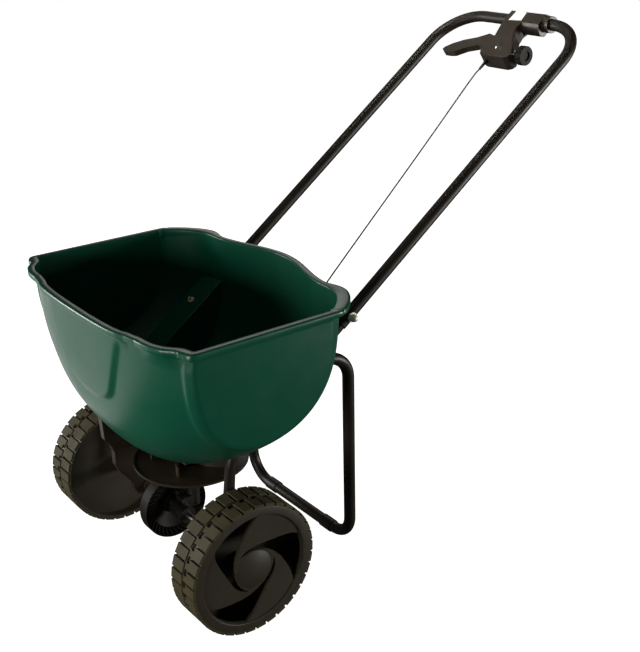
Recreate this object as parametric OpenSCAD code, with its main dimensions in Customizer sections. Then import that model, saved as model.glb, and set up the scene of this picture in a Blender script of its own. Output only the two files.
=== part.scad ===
// Broadcast spreader: a moulded hopper on a bent tube frame, with a geared spinning disc under it.
// X runs along the axle, -Y is the front, the handle leans back over +Y, and the floor is Z = 0.
// Shapes are drawn with the axle over Y = 0, then placed so that Y = 0 is the middle of the length.

/* [Wheels] */
// Radius of the wheels over the tread lugs
wheel_r = 105; // [98:0.5:112]
// Width of the tread
wheel_w = 60; // [52:0.5:62]
// Distance between the outer faces of the two wheels
wheel_span = 448; // [446:1:470]
// Height of the tread lugs
lug_h = 4; // [2.5:0.25:5]
// Number of lugs in each of the two rows
lug_count = 34; // [28:1:38]
// Thickness of the tread wall under the lugs
tread_wall = 4; // [3:0.25:6]
// Thickness of the wheel face
wheel_face_t = 5; // [4:0.25:7]
// Outer radius of the swirl openings in the wheel face
opening_r = 86; // [80:0.5:88]
// How far the closed web of the wheel lies inside its inner edge
web_in = 16; // [10:0.5:24]
// Thickness of the closed web of the wheel
web_t = 3; // [2:0.25:5]
// Outer radius of the wheel hub
hub_r = 15; // [12:0.5:18]
// Radius of the domed hub cap
hub_cap_r = 30; // [27:0.5:33]
// Height of the domed hub cap above the wheel face
hub_cap_h = 7; // [6:0.5:9]

/* [Axle and drive] */
// Diameter of the axle
axle_d = 11; // [10:0.25:12]
// Outer radius of the drive gear
drive_r = 54.5; // [53:0.25:56]
// Depth of the drive gear along the axle
drive_depth = 20; // [17:0.5:22]
// Number of teeth on the drive gear
drive_teeth = 36; // [36:12:36]
// Height of the drive gear teeth
tooth_h = 3.5; // [3:0.1:3.8]
// How far the impeller shaft stands behind the axle
shaft_y = 26; // [25:0.25:27]
// Height of the gear mesh above the axle
mesh_h = 38; // [37.5:0.1:38.5]
// Diameter of the impeller shaft
shaft_d = 10; // [8:0.25:11]
// Wall round the bores of the gear housing
gear_wall = 8; // [6:0.5:10]

/* [Impeller] */
// Radius of the spinning disc
impeller_r = 90; // [80:1:92]
// Thickness of the spinning disc
disc_t = 3; // [2:0.25:4]
// Height of the throwing vanes
vane_h = 17; // [12:0.5:18]
// Number of throwing vanes
vane_count = 5; // [4:1:6]
// Gap between the vanes and the gate rails above them
vane_gap = 7; // [1.5:0.5:8]
// Length of the agitator pin in the hopper
agitator_l = 46; // [34:1:60]

/* [Hopper] */
// Height of the hopper rim above the floor
rim_z = 477.5; // [470:0.5:490]
// Width of the hopper over its side walls
hopper_w = 470; // [464:1:480]
// Thickness of the hopper wall
hopper_t = 3; // [2.5:0.1:3.5]
// Depth of the hopper at its middle
depth_mid = 266; // [264:0.5:272]
// Depth of the hopper at its side walls
depth_side = 168; // [160:1:175]
// Front wall ahead of the axle at the middle
front_mid = 134; // [130:1:140]
// Front wall ahead of the axle at the side walls
front_side = 90; // [86:1:98]
// Back wall behind the axle at the middle
rear_mid = 221; // [216:1:226]
// Back wall behind the axle at the shoulders
rear_shoulder = 190; // [188:0.5:194]
// Back wall behind the axle at the side walls
rear_side = 136; // [130:1:142]
// How far the rim lip stands out from the wall
lip_out = 8; // [5:0.5:10]
// Height of the rim lip
lip_h = 9; // [6:0.5:12]
// How much further the lip stands out at the two back corners
ear_out = 10; // [0:0.5:14]
// Depth of the three outlet ports
port_d = 6; // [4:0.25:6.2]
// Width of the three outlet ports
port_w = 14; // [8:0.5:16]

/* [Frame and handle] */
// Diameter of the handle tube and of the stand tube
tube_d = 19; // [18.5:0.25:19.5]
// Diameter of the lower frame tubes
frame_d = 16; // [15:0.25:16]
// Wall of the tubes
tube_wall = 1.45; // [1.2:0.05:1.45]
// Distance between the two sides of the frame
frame_span = 304; // [300:0.5:305]
// Angle of the handle above the floor
handle_angle = 36.5; // [36:0.1:37]
// Where the frame tubes turn down, behind the axle
corner_y = 12; // [10:0.5:14]
// Where the frame tubes turn down, above the floor
corner_z = 258.5; // [257:0.5:260]
// From that corner to the bolt that joins the handle
bolt_run = 271; // [265:1:280]
// From that corner to the top bar of the handle
handle_run = 899; // [850:1:950]
// Bend radius of the handle corners
handle_bend = 74; // [60:1:80]
// Bend radius of the frame and stand tubes
frame_bend = 45; // [35:1:50]
// Diameter of the joint bolts
bolt_d = 6; // [5:0.25:7]

/* [Stand] */
// How far the bottom bar of the stand is behind the axle
stand_y = 249; // [240:1:255]
// Distance between the lower corners of the stand legs
stand_span = 274; // [270:1:300]
// Height of the upper run of the stand legs
stand_top = 359; // [352:0.5:362]

/* [Control] */
// Thickness of the control housing
control_t = 28; // [26:0.5:32]
// Wall of the control housing
control_wall = 3; // [2.5:0.25:4]
// Length of the clamp sleeve along the top bar
sleeve_l = 120; // [100:1:126]
// Wall of the clamp sleeve round the top bar
sleeve_wall = 4.5; // [3.5:0.25:6]
// Thickness of the hand lever
lever_t = 11; // [8:0.5:13]
// Angle that the hand lever swings through
lever_swing = 24; // [18:1:25]
// From the lever pivot to the hook for the wire
lever_arm = 18; // [17.5:0.25:20]
// Radius of the rate knob
knob_r = 16.5; // [14:0.5:18]
// Depth of the rate knob
knob_w = 13; // [10:0.5:15]
// Diameter of the control wire
wire_d = 2.6; // [2:0.1:3]

/* [Clearances] */
// Running clearance of shafts in their bores, on the radius
run_gap = 0.05; // [0.03:0.01:0.08]
// Gap between pieces that are bolted together
seat_gap = 0.2; // [0.1:0.05:0.3]
// Side gap of pieces that slide or turn past each other
side_gap = 0.5; // [0.4:0.1:0.8]

/* [Hidden] */
$fn = 48;

axle_z = wheel_r;
side_x = frame_span / 2;
wheel_x = wheel_span / 2;
wheel_in = wheel_x - wheel_w;
sa = sin(handle_angle);
ca = cos(handle_angle);

// The hopper surface: for each x a U-shaped section whose half widths and depth follow x.
hop_yc = 15;
hop_power = 3.15;
half_w = hopper_w / 2;
floor_z = rim_z - depth_mid + 10.5;
slot_r = frame_d / 2 + 3.5;
function clamp01(v) = max(0, min(1, v));
function front_y(x) = -front_mid + (front_mid - front_side) * pow(min(1, abs(x) / half_w), 3);
function rear_y(x) = abs(x) < 150
    ? rear_shoulder + (rear_mid - rear_shoulder) * (0.5 + 0.5 * cos(1.2 * abs(x)))
    : rear_shoulder - (rear_shoulder - rear_side) * pow(clamp01((abs(x) - 150) / (half_w - 150)), 2.2);
function depth_at(x) = depth_mid - (depth_mid - depth_side) * pow(min(1, abs(x) / half_w), 2);
function line_z(y) = corner_z + (y - corner_y) * sa / ca;
function tunnel_z(x, y, r) = abs(abs(x) - side_x) <= r + 0.001
    ? line_z(y) + sqrt(max(0, r * r - pow(abs(x) - side_x, 2))) / ca : -1000;
// u runs from -1 at the front rim to 1 at the back rim; inset moves the skin inward
function sec_y(x, u, inset) = u < 0 ? hop_yc + u * (hop_yc - front_y(x) - inset)
    : hop_yc + u * (rear_y(x) - hop_yc - inset);
function sec_z(x, u, inset) = rim_z - pow(max(0, 1 - u * u), 1 / hop_power) * (depth_at(x) - inset);
function skin_z(x, u, inset) = max(sec_z(x, u, inset), floor_z + inset - hopper_t,
    tunnel_z(x, sec_y(x, u, inset), slot_r + inset));
// Height of the outside of the hopper over a point of its floor
function under_z(x, y) = let (u = y < hop_yc ? (y - hop_yc) / (hop_yc - front_y(x))
    : (y - hop_yc) / (rear_y(x) - hop_yc)) skin_z(x, u, 0);
rows = 28;
function slot_cols(r, w) = [-w, -r, -0.86 * r, -0.5 * r, 0, 0.5 * r, 0.86 * r, r, w];
// x of every column from the middle to the +X wall, for a skin that is inset
function half_cols(inset) = let (r = slot_r + inset, w = r + 0.3, a = half_w - inset)
    concat([for (k = [0:5]) (side_x - w) * k / 6], [for (d = slot_cols(r, w)) side_x + d],
    [for (k = [1:5]) side_x + w + (a - side_x - w) * k / 5]);
function all_cols(inset) = let (h = half_cols(inset), n = len(h))
    concat([for (k = [n - 1:-1:1]) -h[k]], h);
function row_u(j) = sin(180 * j / rows - 90);

// Path of a bent tube: straight runs with a round bend at each inner point
bend_skin = 0.05;
bend_lap = 0.4;
function unit(v) = v / norm(v);
function bend_cut(p, i, r) = let (a = unit(p[i - 1] - p[i]), b = unit(p[i + 1] - p[i]))
    r / tan(acos(a * b) / 2);
function run_start(p, i, r) = i == 0 ? p[0] : p[i] + unit(p[i + 1] - p[i]) * bend_cut(p, i, r);
function run_end(p, i, r) = i + 2 == len(p) ? p[i + 1]
    : p[i + 1] + unit(p[i] - p[i + 1]) * bend_cut(p, i + 1, r);
// Rotation angles that turn X, Y and Z into the unit vectors u, v and w
function turn_to(u, v, w) = let (b = asin(-u[2])) [atan2(v[2], w[2]), b, atan2(u[1], u[0])];

module tube_run(a, b, d, bore) {
    v = b - a;
    translate(a) rotate([0, acos(v[2] / norm(v)), atan2(v[1], v[0])]) difference() {
        cylinder(h = norm(v), d = d);
        if (bore > 0) translate([0, 0, -1]) cylinder(h = norm(v) + 2, d = bore);
    }
}

// Bends are a hair thicker in the wall than the straight runs that enter them
module tube_bend(p, i, r, d, bore) {
    a = unit(p[i] - p[i - 1]);
    b = unit(p[i + 1] - p[i]);
    start = p[i] - a * bend_cut(p, i, r);
    side = unit(b - a * (a * b));
    u = -side;
    w = cross(u, a);
    translate(start + side * r) rotate(turn_to(u, a, w))
        rotate_extrude(angle = acos(a * b), $fn = 96) translate([r, 0]) difference() {
            circle(d = d + 2 * bend_skin, $fn = 48);
            if (bore > 0) circle(d = bore - 2 * bend_skin, $fn = 48);
        }
}

module bent_tube(p, r, d, bore = 0) {
    last = len(p) - 2;
    for (i = [0:last]) {
        a = run_start(p, i, r);
        b = run_end(p, i, r);
        along = unit(b - a) * bend_lap;
        tube_run(i == 0 ? a : a - along, i == last ? b : b + along, d, bore);
    }
    for (i = [1:1:last]) tube_bend(p, i, r, d, bore);
}

module x_rod(x0, x1, d) {
    translate([x0, 0, 0]) rotate([0, 90, 0]) cylinder(h = x1 - x0, d = d);
}

module on_axle() {
    translate([0, 0, axle_z]) children();
}

// The plane of the handle: s along the handle, n square to it
module on_handle(s = 0) {
    translate([0, corner_y, corner_z]) rotate([handle_angle, 0, 0]) translate([0, s, 0]) children();
}

// The model stands over the middle of its own length
module placed() {
    reach_back = handle_point(handle_run)[1] + grip_drop * ca + grip_r;
    translate([0, (front_mid + lip_out - reach_back) / 2, 0]) children();
}

module both_sides() {
    children();
    mirror([1, 0, 0]) children();
}

/* Hopper */
tooth_top = 3.5;
pinion_pitch = mesh_h * 12 / 36;
pinion_tip = pinion_pitch + 0.95;
pinion_root = pinion_tip - 2.3;
outlet_x = tooth_top + pinion_root + 0.68;
port_spots = [[0, -23], [-21, -11], [21, -11]];
screw_run = 172;

module hopper_shell() {
    xo = all_cols(0);
    xi = all_cols(hopper_t);
    n = len(xo);
    m = rows + 1;
    outer = [for (i = [0:n - 1]) for (j = [0:rows]) let (u = row_u(j), x = xo[i])
        [x, sec_y(x, u, 0), j == 0 || j == rows ? rim_z - lip_h
        : min(rim_z - lip_h - 0.5, skin_z(x, u, 0))]];
    inner = [for (i = [0:n - 1]) for (j = [0:rows]) let (u = row_u(j), x = xi[i])
        [x, sec_y(x, u, hopper_t), j == 0 || j == rows ? rim_z : min(rim_z - 1, skin_z(x, u, hopper_t))]];
    function lip_x(i) = xo[i] * (half_w + lip_out) / half_w;
    function ear(x) = ear_out * sin(90 * clamp01((abs(x) - side_x - slot_r) / 45));
    lip = [for (z = [rim_z - lip_h, rim_z]) each concat(
        [for (i = [0:n - 1]) [lip_x(i), front_y(xo[i]) - lip_out, z]],
        [for (i = [n - 1:-1:0]) [lip_x(i), rear_y(xo[i]) + lip_out + ear(xo[i]), z]])];
    no = n * m;
    nl = 2 * n * m;
    function o(i, j) = i * m + j;
    function q(i, j) = no + i * m + j;
    function ring_outer(k) = k < n ? o(k, 0) : o(2 * n - 1 - k, rows);
    function ring_inner(k) = k < n ? q(k, 0) : q(2 * n - 1 - k, rows);
    function ring(level, k) = nl + level * 2 * n + k;
    faces = concat(
        [for (i = [0:n - 2]) for (j = [0:rows - 1]) each
            [[o(i, j), o(i + 1, j), o(i + 1, j + 1)], [o(i, j), o(i + 1, j + 1), o(i, j + 1)]]],
        [for (i = [0:n - 2]) for (j = [0:rows - 1]) each
            [[q(i, j), q(i + 1, j + 1), q(i + 1, j)], [q(i, j), q(i, j + 1), q(i + 1, j + 1)]]],
        [[for (j = [0:rows]) o(0, j)], [for (j = [rows:-1:0]) o(n - 1, j)]],
        [[for (j = [rows:-1:0]) q(0, j)], [for (j = [0:rows]) q(n - 1, j)]],
        [for (k = [0:2 * n - 1]) let (l = (k + 1) % (2 * n)) each
            [[ring_outer(k), ring(0, k), ring(0, l)], [ring_outer(k), ring(0, l), ring_outer(l)]]],
        [for (k = [0:2 * n - 1]) let (l = (k + 1) % (2 * n)) each
            [[ring(0, k), ring(1, k), ring(1, l)], [ring(0, k), ring(1, l), ring(0, l)]]],
        [for (k = [0:2 * n - 1]) let (l = (k + 1) % (2 * n)) each
            [[ring(1, k), ring_inner(k), ring_inner(l)], [ring(1, k), ring_inner(l), ring(1, l)]]]);
    polyhedron(points = concat(outer, inner, lip), faces = faces, convexity = 10);
}

// An outlet slot, rounded at both ends
module port(grow, h) {
    half = (port_w - port_d) / 2;
    for (x = [-half, half]) translate([x, 0, 0]) cylinder(h = h, d = port_d + grow);
    translate([-half, -(port_d + grow) / 2, 0]) cube([2 * half, port_d + grow, h]);
}

// The slope of the hopper underside where the axle bracket is screwed on
bracket_x = -82;
flange_tilt = atan2(under_z(bracket_x - 16, 15) - under_z(bracket_x, 15), 16);
flange_screws = [4, 26];
flange_mid = 8;
module at_flange() {
    translate([bracket_x - flange_mid, 0, under_z(bracket_x - flange_mid, 15) - 0.4]) rotate([0, flange_tilt, 0]) children();
}

module hopper() {
    placed() color("darkgreen") difference() {
        hopper_shell();
        translate([outlet_x, shaft_y, floor_z - hopper_t - 5]) {
            cylinder(h = 14, d = shaft_d + 7);
            for (p = port_spots) translate([p[0], p[1], 0]) port(0, 14);
        }
        for (y = flange_screws) at_flange() translate([0, y, -3]) cylinder(h = 14, d = 4.4);
        both_sides() translate([side_x, 0, 0]) on_handle(screw_run) cylinder(h = 2 * slot_r + hopper_t, d = 5);
    }
}
hopper();

module hopper_screws() {
    placed() color("darkgoldenrod") both_sides() translate([side_x, 0, 0]) on_handle(screw_run) {
        translate([0, 0, slot_r + hopper_t + seat_gap]) cylinder(h = 3, d = 11);
        translate([0, 0, frame_d / 2 + 0.3]) cylinder(h = slot_r + hopper_t, d = 4.6);
    }
}
hopper_screws();

/* Outlet parts under the hopper floor */
under_floor = floor_z - hopper_t;
gate_t = 2.5;
gate_w = 82;
gate_front = -40;
gate_back = 42;
gate_travel = lever_arm * sin(lever_swing);
rail_w = 11;
rail_lip = 3;
rail_h = 6;

module at_outlet(z = 0) {
    translate([outlet_x, shaft_y, z]) children();
}

module floor_bushing() {
    bore = shaft_d + 2 * run_gap;
    placed() color("white") at_outlet(under_floor - 1) difference() {
        union() {
            cylinder(h = hopper_t + 3.2, d = shaft_d + 7 - 2 * seat_gap);
            translate([0, 0, hopper_t + 1 + seat_gap]) cylinder(h = 2, d = shaft_d + 14);
        }
        translate([0, 0, -1]) cylinder(h = hopper_t + 6, d = bore);
    }
}
floor_bushing();

// A rail is an L that carries one edge of the gate plate
module gate_rail() {
    edge = gate_w / 2 + side_gap;
    low = seat_gap + gate_t + side_gap;
    translate([edge, gate_front - 2, -rail_h]) cube([rail_w, gate_back - gate_front + 4, rail_h]);
    translate([edge - rail_lip - side_gap, gate_front - 2, -rail_h])
        cube([rail_lip + side_gap + 1, gate_back - gate_front + 4, rail_h - low]);
}

module gate_rail_right() {
    placed() color("#24221d") at_outlet(under_floor) gate_rail();
}
gate_rail_right();

module gate_rail_left() {
    placed() color("#24221d") at_outlet(under_floor) mirror([1, 0, 0]) gate_rail();
}
gate_rail_left();

module gate_plate() {
    hole = shaft_d + 8;
    placed() color("silver") at_outlet(under_floor - seat_gap - gate_t) difference() {
        translate([-gate_w / 2, gate_front, 0]) cube([gate_w, gate_back - gate_front - 2, gate_t]);
        translate([0, 0, -1]) {
            cylinder(h = gate_t + 2, d = hole);
            translate([0, -gate_travel, 0]) cylinder(h = gate_t + 2, d = hole);
            translate([-hole / 2, -gate_travel, 0]) cube([hole, gate_travel, gate_t + 2]);
            for (p = port_spots)
                translate([p[0], p[1] - gate_travel, 0]) port(0.6, gate_t + 2);
        }
        translate([0, gate_back - 9, -1]) cylinder(h = gate_t + 2, d = 4 + 2 * run_gap);
    }
}
gate_plate();

// The link hooks up into the plate and ends in a sleeve that holds the control wire
link_z = under_floor - seat_gap - gate_t - side_gap - 3;
link_d = 6;
link_l = 52;
module gate_link() {
    placed() color("silver") at_outlet(link_z) {
        translate([0, gate_back - 9, 0]) cylinder(h = 3 + side_gap + gate_t, d = 4);
        difference() {
            translate([0, gate_back - 14, 0]) rotate([-90, 0, 0]) cylinder(h = link_l, d = link_d);
            translate([0, gate_back + 6, 0]) rotate([-90, 0, 0])
                cylinder(h = link_l, d = wire_d + 0.8);
        }
    }
}
gate_link();

guide_y = gate_back + 10;
guide_low = link_d / 2 + 2.4;
module wire_guide() {
    top = under_z(outlet_x, shaft_y + guide_y) - 0.3;
    placed() color("#24221d") difference() {
        translate([outlet_x - 8, shaft_y + guide_y, link_z - guide_low]) cube([16, 6, top - link_z + guide_low]);
        translate([outlet_x, shaft_y + guide_y - 1, link_z]) rotate([-90, 0, 0])
            cylinder(h = 8, d = link_d + 2 * run_gap);
    }
}
wire_guide();

/* Frame */
tab_w = 26;
tab_t = 5;
lap = 60;
function handle_point(s) = [0, corner_y + s * ca, corner_z + s * sa];
frame_path = [handle_point(bolt_run + lap), [0, corner_y, corner_z], [0, 0, axle_z + 16]];
bush_d = axle_d + 6;

module frame_tube() {
    difference() {
        union() {
            translate([side_x, 0, 0]) bent_tube(frame_path, frame_bend, frame_d, frame_d - 2 * tube_wall);
            translate([side_x - tab_t / 2, 0, axle_z]) rotate([0, 90, 0]) cylinder(h = tab_t, d = tab_w);
            translate([side_x - tab_t / 2, -frame_d / 2, axle_z])
                cube([tab_t, frame_d, tab_w / 2 + 14]);
        }
        on_axle() x_rod(side_x - tab_t, side_x + tab_t, bush_d);
        translate([side_x, 0, 0]) {
            on_handle(bolt_run) translate([-frame_d, 0, 0]) rotate([0, 90, 0])
                cylinder(h = 2 * frame_d, d = bolt_d + 2 * run_gap);
            on_handle(screw_run) cylinder(h = frame_d, d = 5);
        }
    }
}

module frame_tube_right() {
    placed() color("#1d1b18") frame_tube();
}
frame_tube_right();

module frame_tube_left() {
    placed() color("#1d1b18") mirror([1, 0, 0]) frame_tube();
}
frame_tube_left();

module axle_bushing() {
    flange_in = side_x - tab_t / 2 - seat_gap;
    on_axle() difference() {
        union() {
            x_rod(flange_in - 2.5, side_x + tab_t / 2 + 2, bush_d - 0.1);
            x_rod(flange_in - 2.5, flange_in, bush_d + 7);
        }
        x_rod(flange_in - 4, side_x + tab_t, axle_d + 2 * run_gap);
    }
}

module axle_bushing_right() {
    placed() color("#3a3a36") axle_bushing();
}
axle_bushing_right();

module axle_bushing_left() {
    placed() color("#3a3a36") mirror([1, 0, 0]) axle_bushing();
}
axle_bushing_left();

/* Stand: one bent tube whose ends are coped and welded under the frame tubes */
stand_x = stand_span / 2;
stand_end = [side_x, 148, stand_top];
stand_knee = [side_x, 230, stand_top];
module stand() {
    foot = [stand_x, stand_y, tube_d / 2];
    flip = [-1, 1, 1];
    function flipped(p) = [-p[0], p[1], p[2]];
    path = [stand_end, stand_knee, foot, flipped(foot), flipped(stand_knee), flipped(stand_end)];
    placed() color("#1d1b18") difference() {
        bent_tube(path, frame_bend, tube_d, tube_d - 2 * tube_wall);
        both_sides() translate([side_x, 0, 0]) on_handle(120) rotate([-90, 0, 0])
            cylinder(h = 180, d = frame_d + 0.1);
    }
}
stand();

module stand_foot() {
    cap_w = 26;
    translate([stand_x - 58, stand_y, tube_d / 2]) difference() {
        rotate([0, 90, 0]) cylinder(h = cap_w, d = tube_d + 3, center = true);
        rotate([0, 90, 0]) cylinder(h = cap_w + 2, d = tube_d + 0.1, center = true);
        translate([-cap_w, -tube_d, -tube_d - tube_d / 2]) cube([2 * cap_w, 2 * tube_d, tube_d]);
    }
}

module stand_foot_right() {
    placed() color("#24221d") stand_foot();
}
stand_foot_right();

module stand_foot_left() {
    placed() color("#24221d") mirror([1, 0, 0]) stand_foot();
}
stand_foot_left();

/* Handle */
handle_end = bolt_run - 19;
module handle() {
    function p(x, s) = [x, corner_y + s * ca, corner_z + s * sa];
    path = [p(-side_x, handle_end), p(-side_x, handle_run), p(side_x, handle_run), p(side_x, handle_end)];
    placed() color("#1d1b18") difference() {
        bent_tube(path, handle_bend, tube_d, frame_d + 2 * run_gap);
        both_sides() translate([side_x, 0, 0]) on_handle(bolt_run) translate([-tube_d, 0, 0])
            rotate([0, 90, 0]) cylinder(h = 2 * tube_d, d = bolt_d + 2 * run_gap);
    }
}
handle();

module joint_bolts() {
    half = tube_d / 2;
    placed() color("silver") both_sides() translate([side_x, 0, 0]) on_handle(bolt_run) {
        x_rod(-half - 0.3, half + 6, bolt_d);
        x_rod(-half - 0.3 - 4, -half - 0.3, bolt_d * 1.8);
    }
}
joint_bolts();

// Domed nuts on the outer side of the joint
module joint_nuts() {
    half = tube_d / 2 + 0.3;
    nut_r = bolt_d;
    placed() color("gainsboro") both_sides() translate([side_x + half, 0, 0]) on_handle(bolt_run)
        rotate([0, 90, 0]) difference() {
            union() {
                cylinder(h = 1.2, r = nut_r + 2);
                cylinder(h = 5, r = nut_r);
                translate([0, 0, 5]) intersection() {
                    sphere(r = nut_r);
                    cylinder(h = nut_r, r = nut_r);
                }
            }
            translate([0, 0, -1]) cylinder(h = 1 + 6.2, d = bolt_d + 2 * run_gap);
        }
}
joint_nuts();

/* Axle and gears */
recess = 3;
face_x = wheel_x - recess;
axle_end = face_x + hub_cap_h - 2.8;
clip_x = face_x + 1.7;
module axle() {
    placed() color("silver") on_axle() difference() {
        x_rod(-axle_end, axle_end, axle_d);
        both_sides() difference() {
            x_rod(clip_x - 1.4, clip_x, axle_d + 2);
            x_rod(clip_x - 2, clip_x + 1, axle_d - 2);
        }
        translate([drive_pin_x, 0, 0]) cylinder(h = 40, d = 3, center = true);
        translate([wheel_pin_x, 0, 0]) cylinder(h = 40, d = 4, center = true);
    }
}
axle();

module axle_clips() {
    placed() color("silver") on_axle() both_sides() difference() {
        x_rod(clip_x - 1.3, clip_x - 0.1, axle_d + 8);
        x_rod(clip_x - 2, clip_x + 1, axle_d - 2);
    }
}
axle_clips();

gear_face = tooth_top + 1;
gear_back = gear_face - drive_depth;
tooth_root = tooth_top - tooth_h;
ring_in = 39;
ring_out = drive_r - 3.3;
gear_hub_r = 13;
drive_pin_x = gear_back - 6;
tooth_w = 2.3;
function chord(r, h) = sqrt(r * r - h * h);

module drive_gear() {
    low = chord(ring_in + 1, shaft_y);
    high = chord(ring_out + 0.6, shaft_y);
    placed() color("#2a2823") on_axle() {
        rotate([0, 90, 0]) difference() {
            rotate_extrude($fn = 120) polygon([[0, gear_back - 12], [gear_hub_r, gear_back - 12],
                [gear_hub_r, gear_back], [drive_r, gear_back], [drive_r, gear_face],
                [drive_r - 1.2, gear_face], [ring_out, tooth_root], [ring_in, tooth_root],
                [ring_in - 3, tooth_root - 2], [gear_hub_r + 5, gear_back + 4],
                [gear_hub_r - 2, gear_back + 8], [0, gear_back + 8]]);
            translate([0, 0, gear_back - 20]) cylinder(h = 60, d = axle_d + 0.04);
            translate([0, 0, drive_pin_x]) rotate([0, 90, 0])
                cylinder(h = 60, d = 3 + 2 * run_gap, center = true);
        }
        for (k = [0:drive_teeth - 1]) rotate([360 * k / drive_teeth, 0, 0])
            translate([tooth_root - 0.5, shaft_y - tooth_w / 2, low])
                cube([tooth_h + 0.5, tooth_w, high - low]);
    }
}
drive_gear();

module drive_pin() {
    placed() color("silver") on_axle() translate([drive_pin_x, 0, 0])
        cylinder(h = 2 * gear_hub_r + 3, d = 3 - 0.04, center = true);
}
drive_pin();

/* Impeller shaft and its gear */
pinion_teeth = drive_teeth / 3;
pinion_h = 5;
pinion_z = axle_z + mesh_h - pinion_h / 2;
shaft_low = axle_z + 10;
agitator_z = floor_z + 12;
shaft_top = agitator_z + 8;
disc_z = under_floor - rail_h - vane_gap - vane_h - disc_t;

module impeller_shaft() {
    placed() color("silver") difference() {
        at_outlet(shaft_low) cylinder(h = shaft_top - shaft_low, d = shaft_d);
        at_outlet(agitator_z) rotate([0, 90, 0]) cylinder(h = 40, d = 4, center = true);
        at_outlet(impeller_pin_z) rotate([90, 0, 0]) cylinder(h = 40, d = 3, center = true);
    }
}
impeller_shaft();

module pinion() {
    placed() color("#d8d4c4") at_outlet(pinion_z) difference() {
        union() {
            cylinder(h = pinion_h, r = pinion_root);
            translate([0, 0, pinion_h]) cylinder(h = 7, d = shaft_d + 7);
            intersection() {
                cylinder(h = pinion_h, r = pinion_tip);
                for (k = [0:pinion_teeth - 1]) rotate(180 + (k + 0.5) * 360 / pinion_teeth)
                    linear_extrude(pinion_h) polygon([[0, -1.6], [pinion_root, -1.6], [pinion_tip, -0.85],
                        [pinion_tip, 0.85], [pinion_root, 1.6], [0, 1.6]]);
            }
        }
        translate([0, 0, -1]) cylinder(h = pinion_h + 10, d = shaft_d + 0.04);
    }
}
pinion();

housing_x = gear_face + side_gap + 1.5;
housing_top = pinion_z - side_gap;
module gear_housing() {
    barrel_r = axle_d / 2 + gear_wall;
    post_r = shaft_d / 2 + gear_wall - 3;
    placed() color("#24221d") difference() {
        union() {
            on_axle() x_rod(housing_x, housing_x + 34, 2 * barrel_r);
            at_outlet(shaft_low - 8) cylinder(h = housing_top - shaft_low + 8, r = post_r);
            translate([outlet_x - post_r + 1, 0, shaft_low - 8])
                cube([2 * post_r - 2, shaft_y, housing_top - shaft_low - 6]);
        }
        on_axle() x_rod(housing_x - 1, housing_x + 50, axle_d + 2 * run_gap);
        at_outlet(shaft_low - side_gap) cylinder(h = 60, d = shaft_d + 2 * run_gap);
    }
}
gear_housing();

impeller_hub_r = 12;
impeller_pin_z = disc_z - 7;
module impeller() {
    vane_t = 2.6;
    placed() color("#1f1d19") at_outlet(disc_z) difference() {
        union() {
            translate([0, 0, -14]) cylinder(h = 15, r = impeller_hub_r);
            rotate_extrude($fn = 120) polygon([[0, 0], [impeller_r - 1.5, 0], [impeller_r, 1],
                [impeller_r, disc_t + 1.5], [impeller_r - 2, disc_t + 1.5], [impeller_r - 3, disc_t],
                [impeller_hub_r + 14, disc_t], [impeller_hub_r, disc_t + 7], [0, disc_t + 7]]);
            for (k = [0:vane_count - 1]) rotate(38 + 360 * k / vane_count)
                intersection() {
                    translate([0, 0, disc_t - 0.5]) cylinder(h = vane_h + 0.5, r = impeller_r - 2.5);
                    translate([-20, impeller_r * 0.62 - 8, disc_t - 0.5]) difference() {
                        cylinder(h = vane_h + 0.5, r = impeller_r * 0.62, $fn = 96);
                        translate([0, 0, -1]) cylinder(h = vane_h + 3, r = impeller_r * 0.62 - vane_t, $fn = 96);
                        translate([-impeller_r * 2, -impeller_r, -1])
                            cube([impeller_r * 2 + 20 + impeller_hub_r - 3, impeller_r * 2, vane_h + 3]);
                        translate([0, 0, -1]) mirror([0, 0, 0])
                            translate([-10, 4, 0]) cube([impeller_r, impeller_r, vane_h + 3]);
                    }
                }
        }
        translate([0, 0, -15]) cylinder(h = 60, d = shaft_d + 0.04);
        translate([0, 0, impeller_pin_z - disc_z]) rotate([90, 0, 0])
            cylinder(h = 60, d = 3 + 2 * run_gap, center = true);
    }
}
impeller();

module impeller_pin() {
    placed() color("silver") at_outlet(impeller_pin_z) rotate([90, 0, 0])
        cylinder(h = 2 * impeller_hub_r + 3, d = 3 - 0.04, center = true);
}
impeller_pin();

module agitator() {
    placed() color("silver") at_outlet(agitator_z) rotate([0, 90, 0])
        cylinder(h = agitator_l, d = 4 - 0.04, center = true);
}
agitator();

/* Moulded bracket that steadies the axle beside the drive gear */
bracket_web = 3;
bracket_flange = 11;
module bracket_outline(raise = -0.4) {
    skin = [for (y = [-76:8:28]) [y, under_z(bracket_x, y) + raise], [34, under_z(bracket_x, 34) + raise]];
    front = [[-13, axle_z - 13], [-22, axle_z - 9], [-26, axle_z - 1], [-30, axle_z + 14],
        [-51, axle_z + 41], [-58, axle_z + 57], [-58, axle_z + 80], [-62, axle_z + 92],
        [-73, axle_z + 107]];
    polygon(concat([[13, axle_z], [34, axle_z + 44]],
        [for (k = [len(skin) - 1:-1:0]) skin[k]], [for (k = [len(front) - 1:-1:0]) front[k]]));
}

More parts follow.
